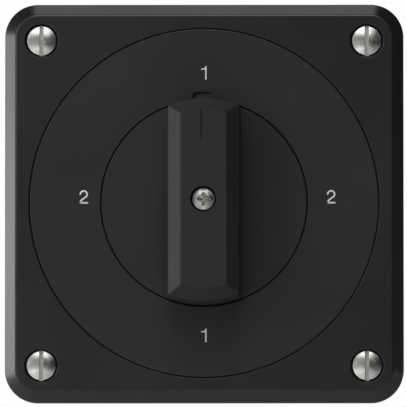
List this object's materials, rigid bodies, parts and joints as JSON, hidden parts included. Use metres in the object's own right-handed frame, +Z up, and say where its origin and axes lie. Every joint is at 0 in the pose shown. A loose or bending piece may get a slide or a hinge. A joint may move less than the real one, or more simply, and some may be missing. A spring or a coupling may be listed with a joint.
{
  "type": "battery switch",
  "caption": "Flush-mounted rotary battery changeover switch: square plate, round legend disc, bar-handled knob turning endlessly in quarter-turn clicks, and stud terminals behind the panel.",
  "frame": {"origin": "on the knob's axis, in the plane of the panel's front face, where the flange gasket rests", "axes": "+Y along the knob's axis into the panel, +Z up the face towards position 1, +X to the right as seen from the front; the front looks along -Y"},
  "size_m": [0.092, 0.073, 0.092],
  "materials": {
    "black_plastic": "satin black moulded plastic",
    "housing_plastic": "glass-filled black plastic, fine spark texture",
    "base_plastic": "dark brown thermoset, faint flow marks",
    "rotor_plastic": "natural acetal",
    "gasket_rubber": "closed-cell foam rubber sheet",
    "seal_rubber": "moulded nitrile",
    "stainless_steel": "polished stainless steel",
    "spring_steel": "bright spring steel",
    "bronze": "sintered bronze",
    "copper": "drawn copper, lightly toned",
    "tinned_brass": "tin-plated brass"
  },
  "bodies": {
    "housing": {"cover_plate": "black_plastic", "flange_gasket": "gasket_rubber", "legend_disc": "black_plastic", "spindle_bush": "bronze", "spindle_seal": "seal_rubber", "thrust_washer": "bronze", "detent_spring_right": "spring_steel", "detent_spring_left": "spring_steel", "mechanism_housing": "housing_plastic", "rim_seal": "seal_rubber", "contact_base": "base_plastic", "link_bar": "copper", "corner_screw_1": "stainless_steel", "corner_screw_2": "stainless_steel", "corner_screw_3": "stainless_steel", "corner_screw_4": "stainless_steel", "tie_screw_1": "stainless_steel", "tie_screw_2": "stainless_steel", "tie_screw_3": "stainless_steel", "tie_screw_4": "stainless_steel", "stud_common_b": "tinned_brass", "washer_common_b": "stainless_steel", "lock_washer_common_b": "spring_steel", "nut_common_b": "stainless_steel", "stud_bank_1": "tinned_brass", "washer_bank_1": "stainless_steel", "lock_washer_bank_1": "spring_steel", "nut_bank_1": "stainless_steel", "stud_bank_2": "tinned_brass", "washer_bank_2": "stainless_steel", "lock_washer_bank_2": "spring_steel", "nut_bank_2": "stainless_steel", "stud_common_a": "tinned_brass", "washer_common_a": "stainless_steel", "lock_washer_common_a": "spring_steel", "nut_common_a": "stainless_steel"},
    "rotor": {"knob": "black_plastic", "knob_screw": "stainless_steel", "spindle": "stainless_steel", "star_wheel": "rotor_plastic", "rotor_carrier": "rotor_plastic", "contact_spring_upper": "spring_steel", "contact_spring_lower": "spring_steel"},
    "bridge": {"contact_bridge": "copper"}
  },
  "joints": [
    {"name": "knob_turn", "type": "hinge", "parent": "housing", "child": "rotor", "pos_m": [0, 0, 0], "axis": [0, 1, 0], "continuous": true, "deforming": ["detent_spring_right", "detent_spring_left"]},
    {"name": "contact_float", "type": "slide", "parent": "rotor", "child": "bridge", "axis": [0, -1, 0], "range_m": [0, 0.0008], "stiffness_N_per_m": 4000, "springref_m": -0.004, "deforming": ["contact_spring_upper", "contact_spring_lower"]}
  ]
}
